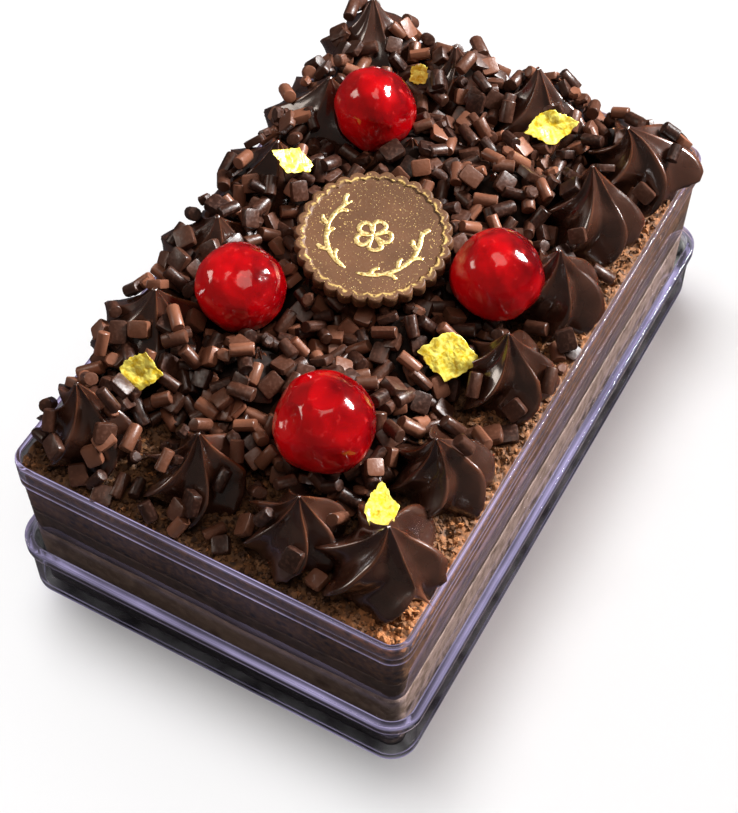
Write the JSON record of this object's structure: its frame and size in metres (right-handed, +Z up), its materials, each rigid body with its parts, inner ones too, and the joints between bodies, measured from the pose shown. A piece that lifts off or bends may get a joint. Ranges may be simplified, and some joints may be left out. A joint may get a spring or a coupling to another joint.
{
  "type": "chocolate mousse cake",
  "caption": "Oblong layered chocolate mousse cake in a clear box on its upturned lid, topped with piped ganache, sprinkles, cherries and a medallion.",
  "frame": {"origin": "middle of the upturned lid's underside, on the surface it stands on", "axes": "+Z up, +Y along the box's long side, +X along its short side"},
  "size_m": [0.0984, 0.1556, 0.0714],
  "materials": {
    "clear_plastic": "clear injection-moulded plastic, thin, glossy, lilac along its edges",
    "pale_mousse": "pale chocolate mousse, set, satin",
    "dark_mousse": "dark chocolate mousse, set, smooth",
    "sponge_crumb": "open chocolate sponge crumb, orange brown where it is bare",
    "sprinkle_chocolate": "chocolate sprinkles, dark to milk brown, satin",
    "milk_chocolate": "milk chocolate, satin, with gold dust",
    "cherry_skin": "cocktail cherry, wet and glossy",
    "ganache": "piped dark chocolate ganache, glossy"
  },
  "bodies": {
    "root": {"lid": "clear_plastic", "box": "clear_plastic", "base_layer": "pale_mousse", "mousse_layer": "dark_mousse", "top_sponge": "sponge_crumb", "sprinkle_heap": "sprinkle_chocolate", "medallion": "milk_chocolate", "cherry_1": "cherry_skin", "cherry_2": "cherry_skin", "cherry_3": "cherry_skin", "cherry_4": "cherry_skin", "ganache_star_01": "ganache", "ganache_star_02": "ganache", "ganache_star_03": "ganache", "ganache_star_04": "ganache", "ganache_star_05": "ganache", "ganache_star_06": "ganache", "ganache_star_07": "ganache", "ganache_star_08": "ganache", "ganache_star_09": "ganache", "ganache_star_10": "ganache", "ganache_star_11": "ganache", "ganache_star_12": "ganache", "ganache_star_13": "ganache", "ganache_star_14": "ganache", "ganache_star_15": "ganache", "ganache_star_16": "ganache"}
  },
  "joints": []
}
